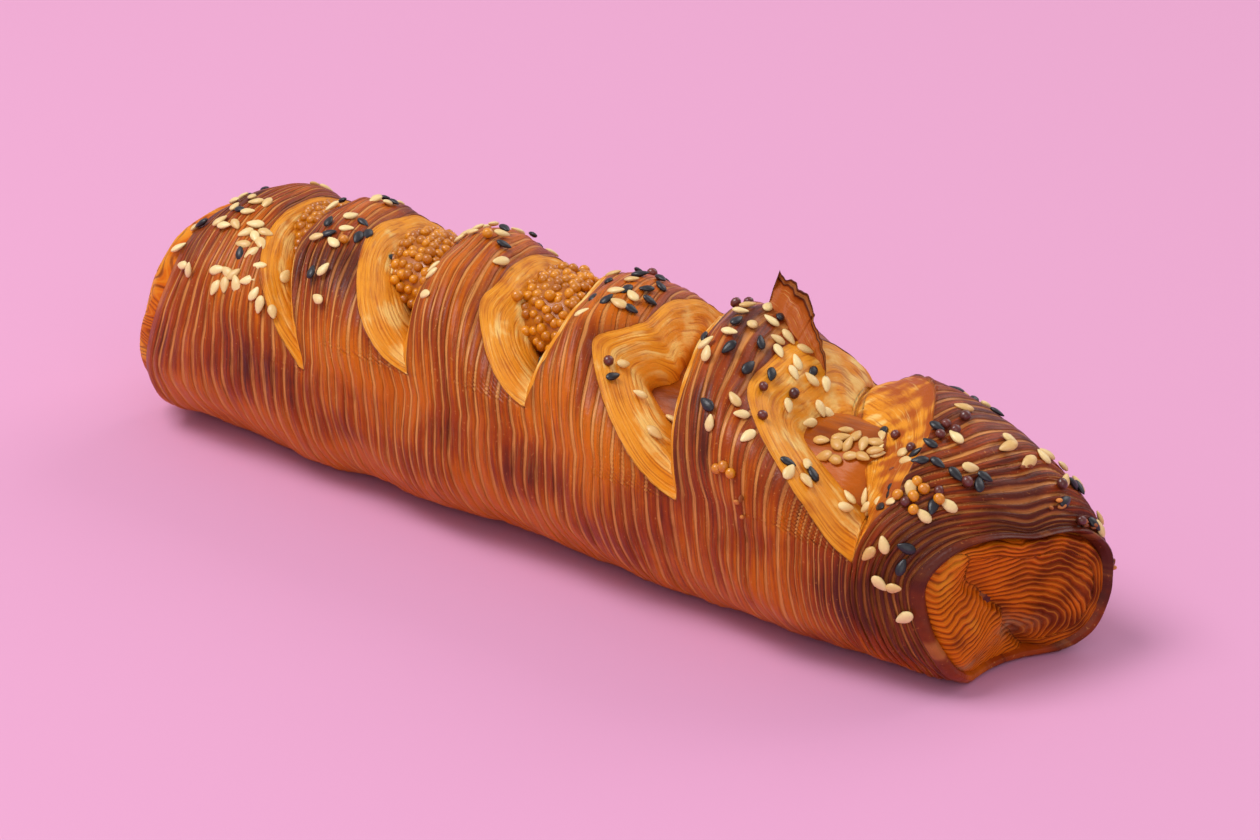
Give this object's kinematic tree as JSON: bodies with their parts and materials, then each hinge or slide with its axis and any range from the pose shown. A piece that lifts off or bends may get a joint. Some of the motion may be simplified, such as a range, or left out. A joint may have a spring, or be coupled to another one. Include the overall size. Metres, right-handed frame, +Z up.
{
  "type": "sausage roll",
  "caption": "Long sausage roll in striped laminated pastry, slashed across the top over a sausage and wholegrain mustard, with sesame seeds.",
  "frame": {"origin": "on the flat underside, under the middle of the loaf", "axes": "+X along the loaf towards its tapered end, -Y its front side, +Z up"},
  "size_m": [0.1936, 0.0502, 0.0527],
  "materials": {
    "baked_dough": "egg-washed laminated crust, glossy brown ridges with pale grooves, golden where it is cut",
    "sausage_skin": "smooth, moist, cooked",
    "mustard_grain": "wet amber grains",
    "white_sesame": "cream, slightly shiny hull",
    "black_sesame": "blue-black, slightly shiny hull",
    "brown_mustard_seed": "shiny red-brown"
  },
  "bodies": {
    "root": {"pastry": "baked_dough", "sausage": "sausage_skin", "mustard": "mustard_grain"}
  },
  "joints": []
}
